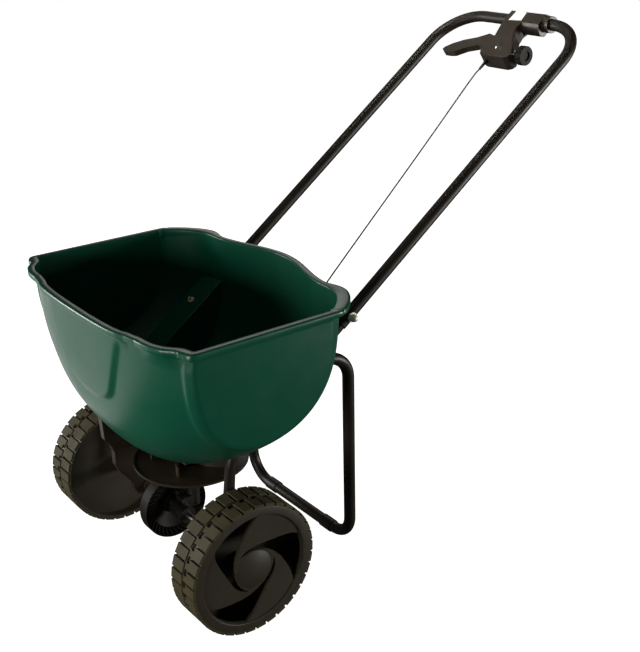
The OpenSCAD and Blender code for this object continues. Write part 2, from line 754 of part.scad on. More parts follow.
module axle_bracket() {
    placed() color("#2a2823") difference() {
        union() {
            translate([bracket_x, 0, 0]) rotate([90, 0, 90]) linear_extrude(bracket_web)
                bracket_outline();
            translate([bracket_x + bracket_web - bracket_flange, 0, 0]) rotate([90, 0, 90])
                linear_extrude(bracket_flange) difference() {
                    bracket_outline();
                    translate([3, 1]) bracket_outline(raise = 4);
                    translate([8, axle_z - 40]) square([200, 300]);
                }
            on_axle() x_rod(bracket_x + bracket_web - 16, bracket_x + bracket_web + 5, axle_d + 13);
            at_flange() translate([-8.5, -6, -3]) cube([8.5 + flange_mid + bracket_web / 2, 40, 3]);
        }
        on_axle() x_rod(bracket_x - 40, bracket_x + 40, axle_d + 2 * run_gap);
        for (y = flange_screws) at_flange() translate([0, y, -10]) cylinder(h = 20, d = 4.4);
    }
}
axle_bracket();

module bracket_screws() {
    placed() color("silver") for (y = flange_screws) at_flange() translate([0, y, -3 - seat_gap]) {
        translate([0, 0, -2.4]) cylinder(h = 2.4, d = 8);
        translate([0, 0, -1]) cylinder(h = 10, d = 4);
    }
}
bracket_screws();

/* Wheels */
wheel_pin_x = -(wheel_in + 8);
rim_r = wheel_r - lug_h;
lug_inset = 0.4;
lug_split = 2;
pocket_r = rim_r - tread_wall;
hub_in = side_x + tab_t / 2 + 2 + 0.3 + 1.6 + 0.3;
// One swirl opening: two sweeping edges that run in from an outer arc to a tip by the hub
function edge_point(r, a) = [r * cos(a), r * sin(a)];
module swirl_opening() {
    tip_r = hub_cap_r + 3;
    lead = [for (t = [0:0.125:1]) edge_point(opening_r + (tip_r - opening_r) * t, 88 + 92 * pow(t, 1.5))];
    arc = [for (a = [92:6:140]) edge_point(opening_r, a)];
    trail = [for (t = [1:-0.125:0.125]) edge_point(opening_r + (tip_r - opening_r) * t, 141 + 60 * pow(t, 1.2))];
    polygon(concat(lead, trail, [for (k = [len(arc) - 1:-1:0]) arc[k]]));
}

module wheel_body(pin_at = 0, pin_bore = 0) {
    lug_l = 2 * PI * rim_r / lug_count * 0.62;
    lug_w = (wheel_w - lug_split) / 2 - lug_inset;
    translate([wheel_x, 0, axle_z]) rotate([90, 0, 90]) {
        translate([0, 0, -wheel_w]) difference() {
            cylinder(h = wheel_w, r = rim_r, $fn = 120);
            translate([0, 0, -1]) cylinder(h = web_in + 1, r = pocket_r, $fn = 120);
            translate([0, 0, web_in + web_t])
                cylinder(h = wheel_w - wheel_face_t - recess - web_in - web_t, r = pocket_r, $fn = 120);
            translate([0, 0, wheel_w - recess]) cylinder(h = recess + 1, r = opening_r + 1.5, $fn = 120);
            translate([0, 0, wheel_w - 20]) linear_extrude(30)
                for (k = [0:2]) rotate(120 * k) swirl_opening();
            cylinder(h = 3 * wheel_w, d = axle_d + 2 * run_gap, center = true);
        }
        translate([0, 0, hub_in - wheel_x]) difference() {
            cylinder(h = wheel_x - hub_in - wheel_face_t, r = hub_r);
            cylinder(h = 3 * wheel_w, d = axle_d + 2 * run_gap, center = true);
            translate([0, 0, pin_at - hub_in]) rotate([90, 0, 0])
                cylinder(h = 80, d = pin_bore, center = true);
        }
        intersection() {
            for (k = [0:lug_count - 1]) for (row = [0, 1])
                rotate((k + row / 2) * 360 / lug_count)
                    translate([rim_r - 0.6, -lug_l / 2, lug_inset - wheel_w + row * (lug_w + lug_split)])
                        cube([2 * lug_h, lug_l, lug_w]);
            translate([0, 0, -wheel_w - 1]) cylinder(h = wheel_w + 2, r = wheel_r, $fn = 120);
        }
    }
}

module wheel_right() {
    placed() color("#2b2922") wheel_body();
}
wheel_right();

module wheel_left() {
    placed() color("#2b2922") rotate([0, 0, 180]) wheel_body(-wheel_pin_x, 4 + 2 * run_gap);
}
wheel_left();

module wheel_pin() {
    placed() color("silver") on_axle() translate([wheel_pin_x, 0, 0])
        cylinder(h = 2 * hub_r + 4, d = 4 - 0.04, center = true);
}
wheel_pin();

// The cap covers the axle end and its clip
module hub_cap() {
    face = face_x + seat_gap;
    ball = (hub_cap_r * hub_cap_r + hub_cap_h * hub_cap_h) / (2 * hub_cap_h);
    on_axle() difference() {
        intersection() {
            translate([face + hub_cap_h - ball, 0, 0]) rotate([0, 90, 0]) rotate_extrude($fn = 96)
                intersection() {
                    circle(r = ball);
                    translate([0, -ball]) square([ball, 2 * ball]);
                }
            x_rod(face, face + hub_cap_h + 1, 2 * hub_cap_r);
        }
        x_rod(face - 1, axle_end + 0.6, axle_d + 10);
    }
}

module hub_cap_right() {
    placed() color("#34322b") hub_cap();
}
hub_cap_right();

module hub_cap_left() {
    placed() color("#34322b") mirror([1, 0, 0]) hub_cap();
}
hub_cap_left();

module wheel_washer() {
    placed() color("silver") on_axle() difference() {
        x_rod(hub_in - 0.3 - 1.6, hub_in - 0.3, axle_d + 11);
        x_rod(hub_in - 5, hub_in + 5, axle_d + 2 * run_gap);
    }
}
wheel_washer();

/* Control on the handle bar: x across, y up the handle, z away from its plane */
half_t = control_t / 2;
wire_exit_x = 5;
body_shape = [[-15, 6], [-13, -26], [-6, -52], [-10, -88], [-5, -98], [2, -100], [48, -100],
    [56, -96], [59, -89], [50, -74], [36, -57], [27, -40], [24, -26], [30, -6], [30, 6]];
pivot = [20, -76];
grip_x = [-15, 64];
grip_r = tube_d / 2 + sleeve_wall + 4.5;
grip_drop = -4;
collar_l = sleeve_l - (grip_x[1] - grip_x[0]) - 29;
part_n = -half_t + control_wall;

module on_bar() {
    on_handle(handle_run) children();
}

// Half of the grip that clamps round the bar, above or below its centre
module bar_grip(upper) {
    bore = tube_d + 2 * run_gap;
    difference() {
        union() {
            intersection() {
                translate([0, grip_drop, 0]) x_rod(grip_x[0], grip_x[1], 2 * grip_r);
                translate([grip_x[0], -2 * grip_r, -half_t])
                    cube([grip_x[1] - grip_x[0], 4 * grip_r, control_t]);
            }
            x_rod(grip_x[1] - 1, grip_x[1] + collar_l, tube_d + 2 * sleeve_wall);
        }
        x_rod(-200, 200, bore);
        translate([-200, -100, upper ? -200 + 0.1 : -0.1]) cube([400, 200, 200]);
    }
}

module body_prism(low, high, inset = 0) {
    translate([0, 0, low]) linear_extrude(high - low) offset(delta = -inset) polygon(body_shape);
}

bar_clear = grip_r - grip_drop + 0.3;
module control_housing() {
    spindle_d = 8 + 2 * run_gap;
    placed() color("#3c352b") on_bar() {
        bar_grip(true);
        difference() {
            translate([0, pivot[1], 0]) x_rod(41, 48, 13);
            translate([0, pivot[1], 0]) x_rod(40, 80, spindle_d);
        }
        difference() {
            body_prism(part_n, half_t);
            difference() {
                body_prism(part_n - 1, half_t - control_wall, control_wall);
                translate([-200, -bar_clear - 2, -100]) cube([400, 200, 200]);
                for (p = screw_spots) translate([p[0], p[1], -50]) cylinder(h = 100, r = 4);
            }
            translate([-200, -bar_clear, -100]) cube([400, 200, 100 + 0.2]);
            translate([0, grip_drop, 0]) x_rod(-200, 200, 2 * grip_r - 1.4);
            // Mouth for the lever
            translate([-60, -90, -lever_t / 2 - side_gap])
                cube([pivot[0] + 40, 66, lever_t + 2 * side_gap]);
            translate([pivot[0], pivot[1], 0]) cylinder(h = 40, d = 6 + 2 * run_gap);
            translate([0, pivot[1], 0]) x_rod(40, 80, spindle_d);
            translate([wire_exit_x, -86, 0]) rotate([90, 0, 0]) cylinder(h = 40, d = 6.2);
            for (p = screw_spots) translate([p[0], p[1], -50]) cylinder(h = 50 + 4, d = 3.4);
        }
    }
}
control_housing();

screw_spots = [[26, -94], [50, -87], [15, -33]];
module control_cover() {
    placed() color("#332e26") on_bar() {
        bar_grip(false);
        difference() {
            body_prism(-half_t, part_n - 0.1);
            translate([0, grip_drop, 0]) x_rod(-200, 200, 2 * grip_r - 1.4);
            translate([pivot[0], pivot[1], -40]) cylinder(h = 80, d = 6 + 2 * run_gap);
            for (p = screw_spots) translate([p[0], p[1], -50]) cylinder(h = 80, d = 4 + 2 * run_gap);
        }
        // Tongue that joins the lower clamp half to the cover plate
        difference() {
            translate([-12, -bar_clear - 4, -half_t]) cube([36, bar_clear, control_wall - 0.1]);
            x_rod(-200, 200, tube_d + 2 * run_gap);
            for (p = screw_spots) translate([p[0], p[1], -50]) cylinder(h = 80, d = 4 + 2 * run_gap);
        }
    }
}
control_cover();

module control_screws() {
    placed() color("silver") on_bar() for (p = screw_spots) translate([p[0], p[1], -half_t - 2 - seat_gap]) {
        cylinder(h = 2, d = 7);
        cylinder(h = 14, d = 3);
    }
}
control_screws();

lever_shape = [[20, -62], [8, -57], [-10, -48], [-30, -43], [-50, -56], [-74, -66], [-92, -78], [-102, -88],
    [-104, -94], [-97, -98], [-84, -98], [-73, -96], [-55, -82], [-33, -73], [-12, -79], [4, -88], [20, -90]];
module lever() {
    half = lever_t / 2;
    slot_from = pivot[0] - lever_arm - 2;
    placed() color("#4b483e") on_bar() difference() {
        union() {
            translate([0, 0, -half]) linear_extrude(lever_t) polygon(lever_shape);
            translate([pivot[0], pivot[1], -half]) cylinder(h = lever_t, r = 14);
        }
        translate([pivot[0], pivot[1], 0]) cylinder(h = 80, d = 6 + 2 * run_gap, center = true);
        // Slot and cross hole that take the wire end
        translate([slot_from, pivot[1] - 22, -2]) cube([wire_exit_x + 8 - slot_from, 24, 4]);
    }
}
lever();

module lever_pivot() {
    placed() color("silver") on_bar() translate([pivot[0], pivot[1], 0]) {
        translate([0, 0, -half_t - 2]) cylinder(h = 1.8, d = 9);
        translate([0, 0, -half_t - 1]) cylinder(h = control_t + 2, d = 6);
        translate([0, 0, half_t + 0.2]) cylinder(h = 2.2, d1 = 13, d2 = 8);
    }
}
lever_pivot();

// Plain washers keep the lever centred between the housing and its cover
module lever_washers() {
    placed() color("white") on_bar() for (low = [part_n + 0.1, lever_t / 2 + seat_gap])
        translate([pivot[0], pivot[1], low]) difference() {
            cylinder(h = half_t - control_wall - lever_t / 2 - seat_gap - 0.1, d = 15);
            translate([0, 0, -1]) cylinder(h = 20, d = 6 + 2 * run_gap);
        }
}
lever_washers();

knob_x = 64;
module rate_knob() {
    placed() color("#25231e") on_bar() translate([0, pivot[1], 0]) difference() {
        union() {
            x_rod(knob_x, knob_x + knob_w, 2 * knob_r - 2);
            for (a = [0:30:330]) rotate([a, 0, 0]) translate([0, knob_r - 2.4, 0])
                x_rod(knob_x + 1.5, knob_x + knob_w - 1.5, 4.8);
        }
        x_rod(knob_x - 1, knob_x + knob_w - 4, 8 + 0.04);
        x_rod(knob_x + knob_w - 2.5, knob_x + knob_w + 1, knob_r);
    }
}
rate_knob();

module knob_spindle() {
    placed() color("silver") on_bar() translate([0, pivot[1], 0]) x_rod(40.5, knob_x + knob_w - 4.2, 8);
}
knob_spindle();

module label_plate() {
    placed() color("white") on_bar() translate([0, 0, half_t + 0.1]) linear_extrude(0.6)
        polygon([[-3, 8], [21, 8], [23, -13], [-4, -15]]);
}
label_plate();

/* Control wire: hooked in the lever, held by the link under the hopper */
function bar_point(x, d) = [x, handle_point(handle_run + d)[1], handle_point(handle_run + d)[2]];
wire_lean = 1 / 28;
function wire_out(d) = bar_point(wire_exit_x - (d + 92) * wire_lean, d);
ferrule_top = wire_out(-92);
ferrule_end = wire_out(-120);
wire_turns = [wire_out(-148), [16, 500, 606.5], [30, 300, 437], [30, 271, 407], [29, 250, 369], [27, 230, 322], [25, 204, 274],
    [21, 174, 240], [17, 146, 219]];
wire_low = [[outlet_x, shaft_y + 94, link_z], [outlet_x, shaft_y + 84, link_z], [outlet_x, shaft_y + 66, link_z]];
wire_path = concat([wire_out(-80), ferrule_top, ferrule_end], wire_turns, wire_low);
wire_steps = 5;

function smooth(a, b, c, d, t) = 0.5 * ((2 * b) + (c - a) * t + (2 * a - 5 * b + 4 * c - d) * t * t
    + (3 * b - a - 3 * c + d) * t * t * t);
function route(p, steps) = let (m = len(p) - 1) concat(
    [for (i = [0:m - 1]) for (k = [0:steps - 1])
        smooth(p[max(i - 1, 0)], p[i], p[i + 1], p[min(i + 2, m)], k / steps)], [p[m]]);
function ring_at(p, t, r, sides) = let (v = unit([1, 0, 0] - t[0] * t), w = cross(t, v))
    [for (k = [0:sides - 1]) p + r * (cos(360 * k / sides) * v + sin(360 * k / sides) * w)];

// A closed tube through the points, with one ring of corners at each
module swept_tube(points, r, sides) {
    m = len(points) - 1;
    rings = [for (i = [0:m]) each ring_at(points[i],
        unit(points[min(i + 1, m)] - points[max(i - 1, 0)]), r, sides)];
    polyhedron(points = rings, faces = concat([[for (k = [0:sides - 1]) k]],
        [[for (k = [sides - 1:-1:0]) m * sides + k]],
        [for (i = [0:m - 1]) for (k = [0:sides - 1]) let (a = i * sides, n = (k + 1) % sides)
            [a + k, a + sides + k, a + sides + n, a + n]]));
}

module control_wire() {
    placed() color("#6f6d60") swept_tube(route(wire_path, wire_steps), wire_d / 2, 8);
}
control_wire();

module wire_ferrule() {
    run = ferrule_end - ferrule_top;
    lean = atan2(run[0], norm([run[1], run[2]]));
    placed() color("#1c1a17") translate(ferrule_top) rotate([handle_angle + 90, 0, 0]) rotate([0, lean, 0])
        difference() {
            union() {
                cylinder(h = norm(run), r1 = 3, r2 = 2.3);
                translate([0, 0, 9.5]) cylinder(h = 1.6, r = 4.2);
            }
            translate([0, 0, -1]) cylinder(h = norm(run) + 2, d = wire_d + 0.5);
        }
}
wire_ferrule();
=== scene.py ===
import math

import bmesh
import bpy
import numpy as np
from mathutils import Matrix, Vector
from mathutils.geometry import delaunay_2d_cdt


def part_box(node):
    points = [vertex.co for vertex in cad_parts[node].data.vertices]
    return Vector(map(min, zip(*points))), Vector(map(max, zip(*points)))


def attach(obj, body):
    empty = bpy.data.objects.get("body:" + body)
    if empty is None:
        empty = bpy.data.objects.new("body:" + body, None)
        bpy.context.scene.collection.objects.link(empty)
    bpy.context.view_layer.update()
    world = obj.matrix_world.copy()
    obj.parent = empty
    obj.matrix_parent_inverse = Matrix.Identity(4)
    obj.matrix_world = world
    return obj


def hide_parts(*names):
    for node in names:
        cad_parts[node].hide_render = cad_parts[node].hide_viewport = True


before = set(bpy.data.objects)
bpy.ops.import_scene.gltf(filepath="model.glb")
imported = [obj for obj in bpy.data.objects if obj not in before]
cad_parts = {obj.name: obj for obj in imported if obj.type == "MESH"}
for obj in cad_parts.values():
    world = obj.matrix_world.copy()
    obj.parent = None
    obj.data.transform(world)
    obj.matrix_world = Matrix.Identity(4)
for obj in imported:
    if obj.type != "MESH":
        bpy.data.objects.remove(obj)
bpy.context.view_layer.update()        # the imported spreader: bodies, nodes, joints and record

mm = 0.001

# Lengths below are in millimetres, measured from the floor under the middle of the axle
axleMiddle = sum(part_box("axle"), Vector()) / 2 / mm
axleZ = axleMiddle.z


def smooth(t):
    return t * t * (3 - 2 * t)


def clamp(value):
    return max(0.0, min(1.0, value))


def rise(value, low, high):
    return smooth(clamp((value - low) / (high - low)))


def place(x, y, z):
    return Vector((x, y + axleMiddle.y, z)) * mm


# Camera and room

cameraSet = {
    "from": (1.2983, -1.0202, 1.0285),
    "at": (0.0739, -0.0666, 0.3749),
    "roll": -0.34,                      # degrees
    "focal": 1072.14,                   # in pixels of a frame 652 high
    "frameHeight": 652,
}


def makeCamera(size):
    data = bpy.data.cameras.new("camera")
    data.sensor_fit = "VERTICAL"
    data.sensor_height = 36
    data.lens = size["focal"] * data.sensor_height / size["frameHeight"]
    camera = bpy.data.objects.new("camera", data)
    bpy.context.scene.collection.objects.link(camera)
    start, target = Vector(size["from"]), Vector(size["at"])
    back = (start - target).normalized()
    right = Vector((0, 0, 1)).cross(back).normalized()
    up = back.cross(right)
    roll = math.radians(size["roll"])
    turned = right * math.cos(roll) + up * math.sin(roll)
    upright = up * math.cos(roll) - right * math.sin(roll)
    camera.matrix_world = Matrix.Translation(start) @ Matrix((turned, upright, back)).transposed().to_4x4()
    bpy.context.scene.camera = camera


roomSet = {
    "floorSize": 14,
    "floorColour": (0.86, 0.86, 0.86),
    "floorGlow": 1.0,
    "skyStrength": 0.04,
    # name, place, point that it faces, size, power, spread in degrees
    "lamps": [
        ("lampLeft", (-2.4, -2.1, 0.7), (0, -0.3, 0.3), (1.1, 1.3), 66, 180),
        ("cardLeft", (-1.6, -1.25, 0.02), (-1.6, -1.25, 1), (2.6, 2.7), 16, 180),
        ("lampFront", (0.8, -3.0, 0.6), (0, -0.2, 0.35), (1.2, 0.9), 44, 180),
        ("lampRight", (1.75, 1.9, 0.35), (0.2, -0.2, 0.3), (0.9, 0.8), 52, 180),
        ("lampTop", (-0.35, -0.9, 2.9), (0, 0, 0.4), (0.35, 0.7), 2, 180),
        ("lampBack", (-2.4, 1.6, 1.6), (0, 0, 0.5), (1.5, 1.2), 8, 180),
        ("lampHandle", (-0.2, -0.2, 1.9), (0, 0.42, 0.78), (0.3, 0.3), 0.5, 30),
    ],
    "lampColour": (1.0, 0.985, 0.955),
}


def makeRoom(size):
    reach = size["floorSize"] / 2
    mesh = bpy.data.meshes.new("floor")
    corners = [(-reach, -reach, 0), (reach, -reach, 0), (reach, reach, 0), (-reach, reach, 0)]
    mesh.from_pydata(corners, [], [(0, 1, 2, 3)])
    floor = bpy.data.objects.new("floor", mesh)
    bpy.context.scene.collection.objects.link(floor)
    floor.visible_diffuse = False       # a bright floor would light the dark underside
    floor.visible_glossy = False
    finish = bpy.data.materials.new("paleFloor")
    finish.use_nodes = True
    shader = finish.node_tree.nodes["Principled BSDF"]
    shader.inputs["Base Color"].default_value = (*size["floorColour"], 1)
    shader.inputs["Roughness"].default_value = 0.9
    shader.inputs["Emission Color"].default_value = (1, 1, 1, 1)
    shader.inputs["Emission Strength"].default_value = size["floorGlow"]
    mesh.materials.append(finish)
    world = bpy.data.worlds.new("studio")
    world.use_nodes = True
    bpy.context.scene.world = world
    tree = world.node_tree
    tree.nodes.clear()
    out = tree.nodes.new("ShaderNodeOutputWorld")
    dim = tree.nodes.new("ShaderNodeBackground")
    dim.inputs["Strength"].default_value = size["skyStrength"]
    white = tree.nodes.new("ShaderNodeBackground")
    path = tree.nodes.new("ShaderNodeLightPath")
    pick = tree.nodes.new("ShaderNodeMixShader")
    for light in (dim, white):
        light.inputs["Color"].default_value = (1, 1, 1, 1)
    tree.links.new(path.outputs["Is Camera Ray"], pick.inputs["Fac"])
    tree.links.new(dim.outputs["Background"], pick.inputs[1])
    tree.links.new(white.outputs["Background"], pick.inputs[2])
    tree.links.new(pick.outputs["Shader"], out.inputs["Surface"])
    for name, spot, aim, wide, power, spread in size["lamps"]:
        data = bpy.data.lights.new(name, "AREA")
        data.shape = "RECTANGLE"
        data.size, data.size_y = wide
        data.energy = power
        data.spread = math.radians(spread)
        data.color = size["lampColour"]
        lamp = bpy.data.objects.new(name, data)
        bpy.context.scene.collection.objects.link(lamp)
        lamp.visible_camera = False
        turn = (Vector(aim) - Vector(spot)).to_track_quat("-Z", "Y").to_matrix().to_4x4()
        lamp.matrix_world = Matrix.Translation(spot) @ turn
    bpy.context.scene.view_settings.view_transform = "Standard"


makeCamera(cameraSet)
makeRoom(roomSet)
print("camera, floor and lamps made")


# Finishes: moulded plastic, powder coat and plated metal, all from noise on Object coordinates; the bracket brown and
# the screw heads' pale brass also hold painted light

def sRgb(red, green, blue):
    lift = lambda v: v / 12.92 if v <= 0.04045 else ((v + 0.055) / 1.055) ** 2.4
    return tuple(lift(v / 255) for v in (red, green, blue))


def addNode(tree, kind, **values):
    node = tree.nodes.new(kind)
    for key, value in values.items():
        setattr(node, key, value)
    return node


def noise(tree, coords, scale, detail=3.0, rough=0.55):
    node = addNode(tree, "ShaderNodeTexNoise")
    node.inputs["Scale"].default_value = scale
    node.inputs["Detail"].default_value = detail
    node.inputs["Roughness"].default_value = rough
    tree.links.new(coords, node.inputs["Vector"])
    return node.outputs["Fac"]


def remap(tree, value, low, high, fromLow=0.3, fromHigh=0.7):
    node = addNode(tree, "ShaderNodeMapRange")
    for key, number in (("From Min", fromLow), ("From Max", fromHigh), ("To Min", low), ("To Max", high)):
        node.inputs[key].default_value = number
    tree.links.new(value, node.inputs["Value"])
    return node.outputs["Result"]


def multiply(tree, first, second):
    node = addNode(tree, "ShaderNodeMath", operation="MULTIPLY")
    for socket, value in zip(node.inputs, (first, second)):
        if isinstance(value, float):
            socket.default_value = value
        else:
            tree.links.new(value, socket)
    return node.outputs["Value"]


def mixColours(tree, factor, first, second):
    node = addNode(tree, "ShaderNodeMix", data_type="RGBA")
    tree.links.new(factor, node.inputs["Factor"])
    for socket, colour in ((6, first), (7, second)):
        if isinstance(colour, tuple):
            node.inputs[socket].default_value = (*colour, 1)
        else:
            tree.links.new(colour, node.inputs[socket])
    return node.outputs[2]


def makeFinish(name, look):
    finish = bpy.data.materials.new(name)
    finish.use_nodes = True
    tree = finish.node_tree
    shader = tree.nodes["Principled BSDF"]
    coords = addNode(tree, "ShaderNodeTexCoord").outputs["Object"]
    cloud = noise(tree, coords, look.get("cloudScale", 9), 4)
    colour = mixColours(tree, remap(tree, cloud, 0, 1), look["colour"], look["second"])
    geometry = addNode(tree, "ShaderNodeNewGeometry")
    if "dust" in look:
        # dust lies in patches on what faces up
        split = addNode(tree, "ShaderNodeSeparateXYZ")
        tree.links.new(geometry.outputs["Normal"], split.inputs["Vector"])
        patch = remap(tree, noise(tree, coords, 38, 5, 0.65), 0, 1, 0.42, 0.72)
        lying = remap(tree, split.outputs["Z"], 0.15, 1, -0.2, 0.9)
        amount = multiply(tree, multiply(tree, patch, lying), look["dustAmount"])
        colour = mixColours(tree, amount, colour, look["dust"])
    tree.links.new(colour, shader.inputs["Base Color"])
    smear = noise(tree, coords, look.get("smearScale", 26), 5, 0.6)
    low, high = look["roughness"]
    tree.links.new(remap(tree, smear, low, high), shader.inputs["Roughness"])
    shader.inputs["Metallic"].default_value = look.get("metallic", 0)
    shader.inputs["Specular IOR Level"].default_value = look.get("specular", 0.5)
    # a long soft wave of the mould under the fine grain
    wave = addNode(tree, "ShaderNodeBump")
    wave.inputs["Strength"].default_value = look.get("wave", 0.1)
    wave.inputs["Distance"].default_value = 0.004
    tree.links.new(noise(tree, coords, look.get("waveScale", 14), 1), wave.inputs["Height"])
    grain = addNode(tree, "ShaderNodeBump")
    grain.inputs["Strength"].default_value = look.get("grain", 0.12)
    grain.inputs["Distance"].default_value = look.get("grainDepth", 0.0003)
    tree.links.new(noise(tree, coords, look.get("grainScale", 900), 2, 0.7), grain.inputs["Height"])
    tree.links.new(wave.outputs["Normal"], grain.inputs["Normal"])
    tree.links.new(grain.outputs["Normal"], shader.inputs["Normal"])
    return finish


finishes = {
    "greenPlastic": {"colour": sRgb(8, 76, 56), "second": sRgb(12, 84, 62), "roughness": (0.28, 0.36),
                     "grain": 0.04, "wave": 0.06, "waveScale": 9, "cloudScale": 5, "specular": 0.42},
    "blackCoat": {"colour": sRgb(28, 23, 16), "second": sRgb(35, 29, 21), "roughness": (0.4, 0.52),
                  "specular": 0.3, "grain": 0.08, "grainScale": 650, "grainDepth": 0.0002},
    "wheelPlastic": {"colour": sRgb(46, 41, 32), "second": sRgb(53, 48, 38), "roughness": (0.46, 0.6),
                     "grain": 0.3, "grainScale": 700, "specular": 0.35,
                     "dust": sRgb(70, 66, 50), "dustAmount": 0.2},
    "treadPlastic": {"colour": sRgb(60, 56, 38), "second": sRgb(72, 67, 46), "roughness": (0.55, 0.75),
                     "grain": 0.4, "grainScale": 500, "specular": 0.15,
                     "dust": sRgb(96, 90, 64), "dustAmount": 0.25},
    # the bracket and impeller brown is made lighter than the plastic to stand in for the light falling on them: plastic
    # colour plus painted light
    "brownPlasticPaintedLit": {"colour": sRgb(40, 33, 23), "second": sRgb(50, 41, 29), "roughness": (0.34, 0.46),
                       "grain": 0.3, "grainScale": 800, "specular": 0.4},
    "blackPlastic": {"colour": sRgb(18, 15, 11), "second": sRgb(25, 21, 16), "roughness": (0.34, 0.5),
                     "grain": 0.3, "grainScale": 800},
    "gearPlastic": {"colour": sRgb(14, 12, 9), "second": sRgb(19, 17, 12), "roughness": (0.5, 0.62),
                    "grain": 0.2, "specular": 0.12},
    "controlPlastic": {"colour": sRgb(38, 31, 22), "second": sRgb(46, 38, 28), "roughness": (0.34, 0.5),
                       "grain": 0.35, "grainScale": 850},
    "zinc": {"colour": sRgb(168, 168, 164), "second": sRgb(196, 196, 190), "roughness": (0.22, 0.42),
             "metallic": 1, "grain": 0.15, "grainScale": 420, "cloudScale": 60},
    "brightZinc": {"colour": sRgb(236, 238, 214), "second": sRgb(246, 246, 226), "roughness": (0.4, 0.55),
                   "metallic": 0.3, "grain": 0.1, "cloudScale": 60},
    "steel": {"colour": sRgb(120, 120, 116), "second": sRgb(150, 149, 144), "roughness": (0.25, 0.45),
              "metallic": 1, "grain": 0.12, "grainScale": 300, "cloudScale": 40},
    # the screw heads' brass is painted near white and not metallic: a painted glint that keeps them bright inside the
    # dark hopper
    "brassPaintedGlint": {"colour": sRgb(250, 240, 190), "second": sRgb(252, 246, 206), "roughness": (0.4, 0.55),
                   "metallic": 0, "grain": 0.1, "cloudScale": 90},
    "whiteNylon": {"colour": sRgb(214, 210, 196), "second": sRgb(226, 222, 210), "roughness": (0.45, 0.6),
                   "grain": 0.2},
    "labelFilm": {"colour": sRgb(236, 238, 232), "second": sRgb(244, 245, 240), "roughness": (0.3, 0.4),
                  "grain": 0.05},
    "wireCoat": {"colour": sRgb(44, 41, 33), "second": sRgb(56, 52, 42), "roughness": (0.35, 0.5),
                 "grain": 0.2, "grainScale": 1200},
}
paint = {name: makeFinish(name, look) for name, look in finishes.items()}
print(f"{len(paint)} finishes made")


# Shared ways to make a piece

def linkPiece(name, mesh, sharp=35):
    mesh.validate()
    mesh.polygons.foreach_set("use_smooth", [True] * len(mesh.polygons))
    mesh.set_sharp_from_angle(angle=math.radians(sharp))
    piece = bpy.data.objects.new(name, mesh)
    bpy.context.scene.collection.objects.link(piece)
    return piece


def meshOf(name, points, faces, finish):
    mesh = bpy.data.meshes.new(name)
    mesh.from_pydata([tuple(p) for p in points], [], [tuple(f) for f in faces])
    mesh.materials.append(paint[finish])
    return mesh


def fixNormals(mesh):
    shape = bmesh.new()
    shape.from_mesh(mesh)
    bmesh.ops.remove_doubles(shape, verts=shape.verts, dist=1e-6)
    bmesh.ops.recalc_face_normals(shape, faces=shape.faces)
    shape.to_mesh(mesh)
    shape.free()
    return mesh


def settle(piece, body, nodes=()):
    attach(piece, body)
    if nodes:
        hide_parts(*nodes)
    return piece


def latheMesh(name, profile, finish, toWorld, sides=96):
    # profile is a closed run of (radius, along), turned round the local Z axis
    points, faces = [], []
    count = len(profile)
    for k in range(sides):
        a = 2 * math.pi * k / sides
        points += [toWorld(Vector((r * math.cos(a), r * math.sin(a), h))) for r, h in profile]
    for k in range(sides):
        for i in range(count):
            a, b = k * count, (k + 1) % sides * count
            j = (i + 1) % count
            faces.append((a + i, b + i, b + j, a + j))
    return fixNormals(meshOf(name, points, faces, finish))


def makeTree(name, inputs):
    tree = bpy.data.node_groups.new(name, "GeometryNodeTree")
    tree.interface.new_socket("Geometry", in_out="INPUT", socket_type="NodeSocketGeometry")
    for key, kind in inputs.items():
        tree.interface.new_socket(key, in_out="INPUT", socket_type=f"NodeSocket{kind}")
    tree.interface.new_socket("Geometry", in_out="OUTPUT", socket_type="NodeSocketGeometry")
    return tree, tree.nodes.new("NodeGroupInput"), tree.nodes.new("NodeGroupOutput")


def runTree(name, tree, baseMesh, values):
    # the tree's inputs are set by identifier before the first evaluation
    base = bpy.data.objects.new(name + "Base", baseMesh)
    bpy.context.scene.collection.objects.link(base)
    modifier = base.modifiers.new("shape", "NODES")
    modifier.node_group = tree
    for item in tree.interface.items_tree:
        if item.in_out == "INPUT" and item.name in values:
            modifier[item.identifier] = values[item.name]
    graph = bpy.context.evaluated_depsgraph_get()
    mesh = bpy.data.meshes.new_from_object(base.evaluated_get(graph))
    mesh.name = name
    bpy.data.objects.remove(base)
    return mesh


def makeTubeTree():
    tree, given, out = makeTree("bentTube", {
        "Bend Radius": "Float", "Bend Steps": "Int", "Tube Radius": "Float", "Sides": "Int",
        "Finish": "Material"})
    toCurve = tree.nodes.new("GeometryNodeMeshToCurve")
    bend = tree.nodes.new("GeometryNodeFilletCurve")
    ring = tree.nodes.new("GeometryNodeCurvePrimitiveCircle")
    sweep = tree.nodes.new("GeometryNodeCurveToMesh")
    real = tree.nodes.new("GeometryNodeRealizeInstances")
    coat = tree.nodes.new("GeometryNodeSetMaterial")
    bend.mode = "POLY"
    sweep.inputs["Fill Caps"].default_value = True
    link = tree.links.new
    link(given.outputs["Geometry"], toCurve.inputs["Mesh"])
    link(toCurve.outputs["Curve"], bend.inputs["Curve"])
    link(given.outputs["Bend Steps"], bend.inputs["Count"])
    link(given.outputs["Bend Radius"], bend.inputs["Radius"])
    link(given.outputs["Tube Radius"], ring.inputs["Radius"])
    link(given.outputs["Sides"], ring.inputs["Resolution"])
    link(bend.outputs["Curve"], sweep.inputs["Curve"])
    link(ring.outputs["Curve"], sweep.inputs["Profile Curve"])
    link(sweep.outputs["Mesh"], real.inputs["Geometry"])
    link(real.outputs["Geometry"], coat.inputs["Geometry"])
    link(given.outputs["Finish"], coat.inputs["Material"])
    link(coat.outputs["Geometry"], out.inputs["Geometry"])
    return tree


